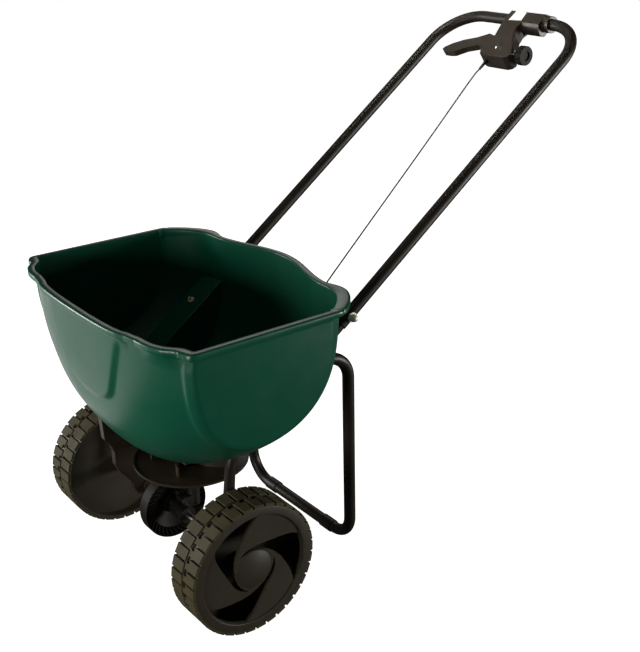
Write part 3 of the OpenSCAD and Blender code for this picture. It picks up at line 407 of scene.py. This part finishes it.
def makeRingTree():
    # repeats the given shape Count times round an axis through Centre
    tree, given, out = makeTree("ringOf", {
        "Count": "Int", "Phase": "Float", "Axis": "Vector", "Centre": "Vector", "Finish": "Material"})
    line = tree.nodes.new("GeometryNodeMeshLine")
    index = tree.nodes.new("GeometryNodeInputIndex")
    shift = addNode(tree, "ShaderNodeMath", operation="ADD")
    part = addNode(tree, "ShaderNodeMath", operation="DIVIDE")
    turn = addNode(tree, "ShaderNodeMath", operation="MULTIPLY")
    axis = addNode(tree, "ShaderNodeVectorMath", operation="SCALE")
    spread = tree.nodes.new("GeometryNodeInstanceOnPoints")
    real = tree.nodes.new("GeometryNodeRealizeInstances")
    move = tree.nodes.new("GeometryNodeTransform")
    coat = tree.nodes.new("GeometryNodeSetMaterial")
    line.inputs["Offset"].default_value = (0, 0, 0)
    turn.inputs[1].default_value = 2 * math.pi
    link = tree.links.new
    link(given.outputs["Count"], line.inputs["Count"])
    link(index.outputs["Index"], shift.inputs[0])
    link(given.outputs["Phase"], shift.inputs[1])
    link(shift.outputs["Value"], part.inputs[0])
    link(given.outputs["Count"], part.inputs[1])
    link(part.outputs["Value"], turn.inputs[0])
    link(given.outputs["Axis"], axis.inputs[0])
    link(turn.outputs["Value"], axis.inputs["Scale"])
    link(line.outputs["Mesh"], spread.inputs["Points"])
    link(given.outputs["Geometry"], spread.inputs["Instance"])
    link(axis.outputs["Vector"], spread.inputs["Rotation"])
    link(spread.outputs["Instances"], real.inputs["Geometry"])
    link(real.outputs["Geometry"], move.inputs["Geometry"])
    link(given.outputs["Centre"], move.inputs["Translation"])
    link(move.outputs["Geometry"], coat.inputs["Geometry"])
    link(given.outputs["Finish"], coat.inputs["Material"])
    link(coat.outputs["Geometry"], out.inputs["Geometry"])
    return tree


tubeTree = makeTubeTree()
ringTree = makeRingTree()


def joinMeshes(name, meshes):
    whole = bmesh.new()
    for mesh in meshes:
        whole.from_mesh(mesh)
    result = bpy.data.meshes.new(name)
    whole.to_mesh(result)
    whole.free()
    result.materials.append(meshes[0].materials[0])
    return result


# Hopper: one thin moulded shell with a raised front panel, round corners and a rolled lip

hopperSet = {
    "rimZ": 477.5, "halfWidth": 235, "wall": 3, "middleY": 15, "power": 3.15,
    "depthMiddle": 266, "depthSide": 168, "frontMiddle": 134, "frontSide": 90,
    "rearMiddle": 221, "rearShoulder": 190, "rearSide": 136,
    "floorRise": 10.5,
    "cornerRadius": 5,                       # round edge between the bowl and its flat sides
    "tunnelX": 152, "tunnelHalf": 26, "tunnelTop": 17.6, "tunnelEdge": 2.6,
    "bendY": 12, "bendZ": 258.5, "tubeAngle": 36.5,
    "panelTop": 111, "panelLow": 44, "panelBottom": 344, "panelCorner": 30,
    "panelDepth": 4.2, "panelEdge": 15,
    "pillarFrom": 212, "pillarTo": 224,
    "columns": 168, "rowsFront": 120, "rowsRear": 76,
    # how far the front wall leaves the smooth curve at the rim, by distance from the middle
    "rimSteps": [(0, 0), (100, 0.2), (114, 0.8), (127, 3.2), (150, 3), (168, -0.6), (180, -2.2), (196, -1.8),
                 (206, 2.5), (215, 6.4), (226, 4), (235, 0.4)],
    "lipOut": 8, "lipHeight": 9, "bead": 1.2,
    "frontEar": 3.2, "rearEar": 11,
}
hop = hopperSet


def frontY(x):
    return -hop["frontMiddle"] + (hop["frontMiddle"] - hop["frontSide"]) * min(1, abs(x) / hop["halfWidth"]) ** 3


def rearY(x):
    a = abs(x)
    if a < 150:
        swell = 0.5 + 0.5 * math.cos(math.radians(1.2 * a))
        return hop["rearShoulder"] + (hop["rearMiddle"] - hop["rearShoulder"]) * swell
    fall = clamp((a - 150) / (hop["halfWidth"] - 150)) ** 2.2
    return hop["rearShoulder"] - (hop["rearShoulder"] - hop["rearSide"]) * fall


def rimRelief(x):
    spots, reliefs = zip(*hop["rimSteps"])
    return float(np.interp(abs(x), spots, reliefs))


def panelMask(x, z):
    # 1 inside the raised U of the front wall, falling to 0 over its sloping edge
    high = clamp((z - hop["panelBottom"]) / (hop["rimZ"] - hop["panelBottom"]))
    half = hop["panelLow"] + (hop["panelTop"] - hop["panelLow"]) * high ** 0.6
    dx = abs(x) - (half - hop["panelCorner"])
    dz = (hop["panelBottom"] + hop["panelCorner"]) - z
    beyond = math.hypot(max(dx, 0), max(dz, 0)) - hop["panelCorner"]
    return 1 - rise(beyond, -hop["panelEdge"] / 2, hop["panelEdge"] / 2)


def wallRelief(x, u, z):
    if u >= 0:
        return 0.0
    pillar = rise(abs(x), hop["pillarFrom"], hop["pillarTo"])
    low = rise(z, 295, 365)                  # the wall runs smoothly into the bowl's bottom
    face = hop["panelDepth"] * (1 - panelMask(x, z)) * (1 - pillar) * low
    return face + (rimRelief(x) - face) * rise(z, hop["rimZ"] - 34, hop["rimZ"] - 6)


def bowlPoint(x, u, inset):
    a = min(1, abs(x) / hop["halfWidth"])
    depth = hop["depthMiddle"] - (hop["depthMiddle"] - hop["depthSide"]) * a * a
    front, rear = frontY(x), rearY(x)
    middle = hop["middleY"]
    y = middle + u * (middle - front - inset) if u < 0 else middle + u * (rear - middle - inset)
    z = hop["rimZ"] - max(0, 1 - u * u) ** (1 / hop["power"]) * (depth - inset)
    y += wallRelief(x, u, z)
    slope = math.radians(hop["tubeAngle"])
    fromTunnel = abs(abs(x) - hop["tunnelX"])
    half = hop["tunnelHalf"] - hop["wall"] + inset
    if fromTunnel <= half + 0.01:
        edge = clamp((fromTunnel - half + hop["tunnelEdge"]) / hop["tunnelEdge"])
        lift = hop["tunnelTop"] - (hop["wall"] - inset) / math.cos(slope)
        lift -= hop["tunnelEdge"] * (1 - math.sqrt(1 - edge * edge * 0.98))
        z = max(z, hop["bendZ"] + (y - hop["bendY"]) * math.tan(slope) + lift)
    floor = hop["rimZ"] - hop["depthMiddle"] + hop["floorRise"] - hop["wall"] + inset
    return Vector((x, y, max(z, floor)))


def hopperColumns():
    half, corner = hop["halfWidth"], hop["cornerRadius"]
    xs = [half * (2 * k / hop["columns"] - 1) for k in range(hop["columns"] + 1)]
    columns = [(x, 0.0) for x in xs if abs(x) < half - corner - 1]
    for side in (-1, 1):
        for wall in (hop["tunnelHalf"], hop["tunnelHalf"] - hop["wall"]):
            for d in (wall + 0.3, wall, wall - 0.7, wall - 1.5, wall - hop["tunnelEdge"]):
                columns += [(side * (hop["tunnelX"] + d), 0.0), (side * (hop["tunnelX"] - d), 0.0)]
        for k in range(7):                   # the round corner pulls the section in as it turns
            a = math.pi / 2 * k / 6
            columns.append((side * (half - corner + corner * math.sin(a)), corner * (1 - math.cos(a))))
    columns.sort()
    kept = [columns[0]]
    for column in columns[1:]:
        if column[0] - kept[-1][0] > 0.05:
            kept.append(column)
    return kept


def hopperRows():
    # rows spaced evenly along the middle section
    us = np.sin(np.linspace(-math.pi / 2, math.pi / 2, 4001))
    rows = []
    for side, count in ((us[us <= 0], hop["rowsFront"]), (us[us >= 0], hop["rowsRear"])):
        ys = np.abs(side) * (hop["frontMiddle"] + hop["middleY"])
        zs = np.maximum(0, 1 - side ** 2) ** (1 / hop["power"]) * hop["depthMiddle"]
        length = np.concatenate([[0], np.cumsum(np.hypot(np.diff(ys), np.diff(zs)))])
        rows.append(np.interp(np.linspace(0, length[-1], count + 1), length, side))
    return [float(u) for u in rows[0]] + [float(u) for u in rows[1][1:]]


def makeShell():
    columns, rows = hopperColumns(), hopperRows()
    wide, tall = len(columns), len(rows)
    points = []
    for inset, top in ((0.0, hop["rimZ"] - 1.2), (hop["wall"], hop["rimZ"] - 1.0)):
        for x, pull in columns:
            squeezed = x * (hop["halfWidth"] - inset) / hop["halfWidth"]
            for u in rows:
                p = bowlPoint(squeezed, u, inset + pull)
                points.append(place(p.x, p.y, min(p.z, top)))
    skin = wide * tall
    at = lambda i, j, inner: inner * skin + i * tall + j
    faces = []
    for i in range(wide - 1):
        for j in range(tall - 1):
            faces.append((at(i, j, 0), at(i + 1, j, 0), at(i + 1, j + 1, 0), at(i, j + 1, 0)))
            faces.append((at(i, j, 1), at(i, j + 1, 1), at(i + 1, j + 1, 1), at(i + 1, j, 1)))
        for j in (0, tall - 1):              # the cut edge under the lip
            faces.append((at(i, j, 0), at(i, j, 1), at(i + 1, j, 1), at(i + 1, j, 0)))
    for i in (0, wide - 1):                  # flat D-shaped sides, and the cut edge above them
        for inner in (0, 1):
            faces.append([at(i, j, inner) for j in range(tall)])
        faces.append((at(i, 0, 0), at(i, tall - 1, 0), at(i, tall - 1, 1), at(i, 0, 1)))
    return linkPiece("hopperShell", fixNormals(meshOf("hopperShell", points, faces, "greenPlastic")), 28)


def rimPlan():
    # the outer edge of the wall seen from above, as a closed run of points
    half, corner = hop["halfWidth"], 5.0
    xs = np.linspace(-half + corner, half - corner, 190)
    run = [(x, frontY(x) + rimRelief(x)) for x in xs]
    low, high = frontY(half) + rimRelief(half), rearY(half)
    turn = [math.radians(90 * k / 6) for k in range(1, 6)]
    run += [(half - corner + corner * math.sin(a), low + corner - corner * math.cos(a)) for a in turn]
    run += [(half, y) for y in np.linspace(low + corner, high - corner, 60)]
    run += [(half - corner + corner * math.cos(a), high - corner + corner * math.sin(a)) for a in turn]
    run += [(x, rearY(x)) for x in xs[::-1]]
    run += [(-half + corner - corner * math.sin(a), high - corner + corner * math.cos(a)) for a in turn]
    run += [(-half, y) for y in np.linspace(high - corner, low + corner, 60)]
    run += [(-half + corner - corner * math.cos(a), low + corner - corner * math.sin(a)) for a in turn]
    return [Vector(p) for p in run]


def makeLip():
    plan = rimPlan()
    top, deep, out = hop["rimZ"], hop["lipHeight"], hop["lipOut"]
    profile = [(-hop["wall"] + 1, -deep - 3), (-hop["wall"] - 0.3, -2), (-hop["wall"], -0.8),
               (-hop["wall"] + 1, 0), (out - 2.2, 0), (out - 0.8, -0.5), (out, -1.8), (out, -deep + 1),
               (out - 0.7, -deep), (hop["bead"] + 0.8, -deep), (hop["bead"], -deep - 1), (hop["bead"], -deep - 5),
               (hop["bead"] - 0.6, -deep - 6), (-1, -deep - 6)]
    count = len(plan)
    points, faces = [], []
    for k, spot in enumerate(plan):
        along = plan[(k + 1) % count] - plan[k - 1]
        normal = Vector((along.y, -along.x)).normalized()
        a = abs(spot.x)
        if spot.y < 0:
            ear = -hop["frontEar"] * rise(a, 208, 217) * rise(-spot.y, 60, 66)
        else:
            ear = hop["rearEar"] * rise(a, 132, 178)
        for o, z in profile:
            p = spot + normal * o
            points.append(place(p.x, p.y + ear * clamp(o / out), top + z))
    size = len(profile)
    for k in range(count):
        a, b = k * size, (k + 1) % count * size
        for i in range(size):
            j = (i + 1) % size
            faces.append((a + i, b + i, b + j, a + j))
    return linkPiece("hopperLip", fixNormals(meshOf("hopperLip", points, faces, "greenPlastic")), 40)


settle(makeShell(), "chassis", ["hopper"])
settle(makeLip(), "chassis")
print("hopper moulded")


# Bent tubes

tubeSet = {
    "tube": 9.5, "frameTube": 8, "sides": 32, "bendSteps": 14,
    "span": 152, "frameBend": 45, "handleBend": 74,
    "handleFrom": 252, "handleTo": 899,
    "standTop": 359, "standFront": 148, "standKnee": 230, "standFoot": 249, "standHalf": 137,
    "frameTop": 331,
}
tube = tubeSet


def onTube(x, run, lift=0.0):
    # a point of the handle's plane: run along the tube, lift square to it
    angle = math.radians(hop["tubeAngle"])
    return (x, hop["bendY"] + run * math.cos(angle) - lift * math.sin(angle),
            hop["bendZ"] + run * math.sin(angle) + lift * math.cos(angle))


def sweepTube(name, route, radius, bend, finish="blackCoat"):
    path = bpy.data.meshes.new(name + "Path")
    path.from_pydata([tuple(place(*p)) for p in route], [(k, k + 1) for k in range(len(route) - 1)], [])
    return runTree(name, tubeTree, path, {
        "Bend Radius": bend * mm, "Bend Steps": tube["bendSteps"], "Tube Radius": radius * mm,
        "Sides": tube["sides"], "Finish": paint[finish]})


def makeHandle():
    near, far = tube["handleFrom"], tube["handleTo"]
    route = [onTube(-tube["span"], near), onTube(-tube["span"], far), onTube(tube["span"], far),
             onTube(tube["span"], near)]
    return linkPiece("handleTube", sweepTube("handleTube", route, tube["tube"], tube["handleBend"]))


def makeStand():
    side = [(tube["span"], tube["standFront"], tube["standTop"]),
            (tube["span"], tube["standKnee"], tube["standTop"]),
            (tube["standHalf"], tube["standFoot"], tube["tube"])]
    route = side + [(-x, y, z) for x, y, z in reversed(side)]
    return linkPiece("standTube", sweepTube("standTube", route, tube["tube"], tube["frameBend"]))


def makeFrameTube(side):
    route = [onTube(side * tube["span"], tube["frameTop"]), (side * tube["span"], hop["bendY"], hop["bendZ"]),
             (side * tube["span"], 0, axleZ + 16)]
    name = "frameTubeRight" if side > 0 else "frameTubeLeft"
    mesh = sweepTube(name, route, tube["frameTube"], tube["frameBend"])
    # the lower end is pressed flat for the axle bushing
    for v in mesh.vertices:
        z = v.co.z / mm
        flat = 1 - rise(z, axleZ + 22, axleZ + 52)
        across = v.co.x / mm - side * tube["span"]
        centre = axleMiddle.y + hop["bendY"] * clamp((z - axleZ) / (hop["bendZ"] - axleZ))
        v.co.x = (side * tube["span"] + across * (1 - 0.69 * flat)) * mm
        v.co.y = (centre + (v.co.y / mm - centre) * (1 + 0.5 * flat)) * mm
    pad = latheMesh(name + "Pad", [(8.6, -2.4), (12.2, -2.4), (13, -1.6), (13, 1.6), (12.2, 2.4), (8.6, 2.4)],
                    "blackCoat", lambda p: place(side * tube["span"] + p.z, p.x, axleZ + p.y), 48)
    return linkPiece(name, joinMeshes(name, [mesh, pad]))


settle(makeHandle(), "chassis", ["handle"])
settle(makeStand(), "chassis", ["stand"])
settle(makeFrameTube(1), "chassis", ["frame_tube_right"])
settle(makeFrameTube(-1), "chassis", ["frame_tube_left"])
print("tubes bent")


# Wheels: a moulded cup with a swirl face, and lugs in two staggered rows

wheelSet = {
    "middleX": 224, "wide": 60, "rim": 101, "tread": 105, "cup": 97, "hub": 15, "bore": 6.7,
    "webFrom": -44, "webTo": -41, "face": 5, "recess": 3, "recessRadius": 87.5,
    "lugs": 34, "lugShare": 0.84, "ridge": 1.1, "notchShare": 0.42, "notchWide": 7,
    "sides": 120,
    # edges of one opening as (radius, degrees), from the outer arc to its tail round the hub
    "lead": [(86, 84), (74, 93), (63, 102), (54, 112), (44, 130), (37, 150), (33, 170), (31.6, 190),
             (32, 212), (33, 232), (35, 250)],
    "trail": [(86, 139), (76, 147), (68, 152), (60, 158), (51, 167), (43, 182), (39.5, 198), (38.5, 214),
              (37.5, 232), (36, 250)],
}
wheel = wheelSet


def wheelPoint(side):
    # the left wheel is the right one turned half round the vertical
    return lambda p: place(side * (wheel["middleX"] + p.z), side * p.x, axleZ + p.y)


def polarRun(marks, steps):
    radii, angles = zip(*marks)
    share = np.linspace(0, len(marks) - 1, steps)
    spots = range(len(marks))
    return [(r * math.cos(math.radians(a)), r * math.sin(math.radians(a)))
            for r, a in zip(np.interp(share, spots, radii), np.interp(share, spots, angles))]


def faceHoles():
    lead, trail = wheel["lead"], wheel["trail"]
    hole = polarRun(lead, 41) + polarRun(trail, 41)[::-1]
    hole += polarRun([trail[0], lead[0]], 12)[1:-1]
    holes = []
    for k in range(3):
        a = 2 * math.pi * k / 3
        holes.append([Vector((x * math.cos(a) - y * math.sin(a), x * math.sin(a) + y * math.cos(a)))
                      for x, y in hole])
    return holes


def flatPatch(loops, keep):
    # triangles over the first loop and round the others, where keep says so
    points, edges = [], []
    for loop in loops:
        first = len(points)
        points += loop
        edges += [(first + k, first + (k + 1) % len(loop)) for k in range(len(loop))]
    spots, _, triangles, _, _, _ = delaunay_2d_cdt(points, edges, [], 0, 1e-5)
    kept = [t for t in triangles if keep(sum((spots[i] for i in t), Vector((0, 0))) / 3)]
    return spots, kept


def inside(point, loop):
    hit = False
    for a, b in zip(loop, loop[1:] + loop[:1]):
        if (a.y > point.y) != (b.y > point.y):
            hit ^= point.x < a.x + (point.y - a.y) / (b.y - a.y) * (b.x - a.x)
    return hit


def circleRun(radius, count):
    return [Vector((radius * math.cos(2 * math.pi * k / count), radius * math.sin(2 * math.pi * k / count)))
            for k in range(count)]


def faceMesh(name, toWorld):
    outer = circleRun(wheel["recessRadius"] + 1, wheel["sides"])
    bore = circleRun(wheel["bore"], 32)
    holes = [bore] + faceHoles()
    front, back = -wheel["recess"], -wheel["recess"] - wheel["face"]
    spots, kept = flatPatch([outer] + holes, lambda p: not any(inside(p, loop) for loop in holes))
    points, faces = [], []

    def addPatch(z, up):
        first = len(points)
        points.extend(toWorld(Vector((p.x, p.y, z))) for p in spots)
        for t in kept:
            faces.append([first + i for i in (t if up else t[::-1])])

    def addWall(loop, top, bottom):
        first = len(points)
        for z in (top, bottom):
            points.extend(toWorld(Vector((p.x, p.y, z))) for p in loop)
        count = len(loop)
        for k in range(count):
            j = (k + 1) % count
            faces.append((first + k, first + j, first + count + j, first + count + k))

    addPatch(front, True)
    addPatch(back, False)
    for loop in [outer] + holes:
        addWall(loop, front, back)
    return fixNormals(meshOf(name, points, faces, "wheelPlastic"))


def lugMesh(name, side, row):
    # one lug: its outline along the tread and across it, drawn up to a slightly smaller top
    pitch = 2 * math.pi / wheel["lugs"]
    long, wide = pitch * wheel["lugShare"], wheel["wide"] / 2 - wheel["ridge"] - 0.8
    if row:
        cut, deep = long * wheel["notchShare"], wheel["notchWide"]
        outline = [(0, 0), (long, 0), (long, wide), (cut, wide), (cut, wide - deep), (0, wide - deep)]
        z = -0.4
        outline = [(a, z - wide + w) for a, w in [(a, wide - w) for a, w in outline]]
    else:
        outline = [(a, -wheel["wide"] + 0.4 + w) for a, w in [(0, 0), (long, 0), (long, wide), (0, wide)]]
    middleA = sum(a for a, _ in outline) / len(outline)
    middleW = sum(w for _, w in outline) / len(outline)
    shift = pitch / 2 if row else 0
    rings = [(wheel["rim"] - 0.6, 1.0), (wheel["tread"] - 0.9, 0.985), (wheel["tread"], 0.93)]
    points, faces = [], []
    for radius, scale in rings:
        for a, w in outline:
            a = middleA + (a - middleA) * scale + shift
            w = middleW + (w - middleW) * (1 - (1 - scale) * 0.35)
            x, y = side * (wheel["middleX"] + w), side * radius * math.cos(a)
            points.append(Vector((x, y, radius * math.sin(a))) * mm)
    count = len(outline)
    for ring in range(2):
        for k in range(count):
            j = (k + 1) % count
            faces.append((ring * count + k, ring * count + j, (ring + 1) * count + j, (ring + 1) * count + k))
    faces += [list(range(count))[::-1], list(range(2 * count, 3 * count))]
    return fixNormals(meshOf(name, points, faces, "treadPlastic"))


def makeWheel(side):
    name = "wheelRight" if side > 0 else "wheelLeft"
    toWorld = wheelPoint(side)
    w = wheel
    back = -w["recess"] - w["face"]
    rim = [(w["cup"], -w["wide"] + 1.2), (w["cup"] + 0.9, -w["wide"] + 0.2), (w["rim"] - 0.8, -w["wide"]),
           (w["rim"], -w["wide"] + 0.8), (w["rim"], -w["wide"] / 2 - w["ridge"]),
           (w["tread"] - 1.6, -w["wide"] / 2 - w["ridge"] * 0.6), (w["tread"] - 1.6, -w["wide"] / 2 + w["ridge"] * 0.6),
           (w["rim"], -w["wide"] / 2 + w["ridge"]), (w["rim"], -1.6), (w["rim"] - 0.5, -0.5),
           (w["rim"] - 1.6, 0), (w["recessRadius"] + 0.8, 0), (w["recessRadius"], -0.7),
           (w["recessRadius"] - 0.2, -w["recess"]), (w["recessRadius"] - 0.4, back), (w["cup"], back),
           (w["cup"], w["webTo"]), (w["hub"], w["webTo"]), (w["hub"], w["webFrom"]), (w["cup"], w["webFrom"])]
    hubEnd = 158.7 - w["middleX"]
    hub = [(w["bore"], hubEnd), (w["hub"] - 1, hubEnd), (w["hub"], hubEnd + 1), (w["hub"], back + 0.5),
           (w["bore"], back + 0.5)]
    body = joinMeshes(name, [latheMesh(name + "Rim", rim, "wheelPlastic", toWorld, w["sides"]),
                             latheMesh(name + "Hub", hub, "wheelPlastic", toWorld, 48),
                             faceMesh(name + "Face", toWorld)])
    bodyName = "free_wheel" if side > 0 else "axle_set"
    node = "wheel_right" if side > 0 else "wheel_left"
    settle(linkPiece(name, body, 30), bodyName, [node])
    rows = [runTree(f"{name}Row{row}", ringTree, lugMesh(f"{name}Lug{row}", side, row), {
        "Count": w["lugs"], "Phase": 0.0, "Axis": (1, 0, 0), "Centre": tuple(place(0, 0, axleZ)),
        "Finish": paint["treadPlastic"]}) for row in (0, 1)]
    settle(linkPiece(name + "Tread", joinMeshes(name + "Tread", rows), 20), bodyName)


makeWheel(1)
makeWheel(-1)
print("wheels made")


# CAD nodes that keep their own shape take a finish here

nodeFinish = {
    "blackPlastic": ["gate_rail_left", "gate_rail_right", "wire_guide", "gear_housing",
                     "axle_bushing_left", "axle_bushing_right", "wire_ferrule"],
    "blackCoat": ["stand_foot_left", "stand_foot_right"],
    "wheelPlastic": ["hub_cap_left", "hub_cap_right"],
    "gearPlastic": ["drive_gear", "rate_knob"],
    # bracket and impeller take the brown plastic made lighter with painted light
    "brownPlasticPaintedLit": ["axle_bracket", "impeller"],
    "controlPlastic": ["control_housing", "control_cover", "lever"],
    "zinc": ["joint_bolts", "axle_clips", "bracket_screws", "wheel_washer", "gate_plate",
             "gate_link", "control_screws", "lever_pivot", "agitator"],
    "brightZinc": ["joint_nuts"],
    "steel": ["axle", "drive_pin", "wheel_pin", "impeller_shaft", "impeller_pin", "knob_spindle"],
    "whiteNylon": ["floor_bushing", "pinion", "lever_washers"],
    # the screw heads take the brass painted near white as a painted glint
    "brassPaintedGlint": ["hopper_screws"],
    "labelFilm": ["label_plate"],
    "wireCoat": ["control_wire"],
}
for finish, members in nodeFinish.items():
    for node in members:
        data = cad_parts[node].data
        data.materials.clear()
        data.materials.append(paint[finish])
print("CAD nodes painted")
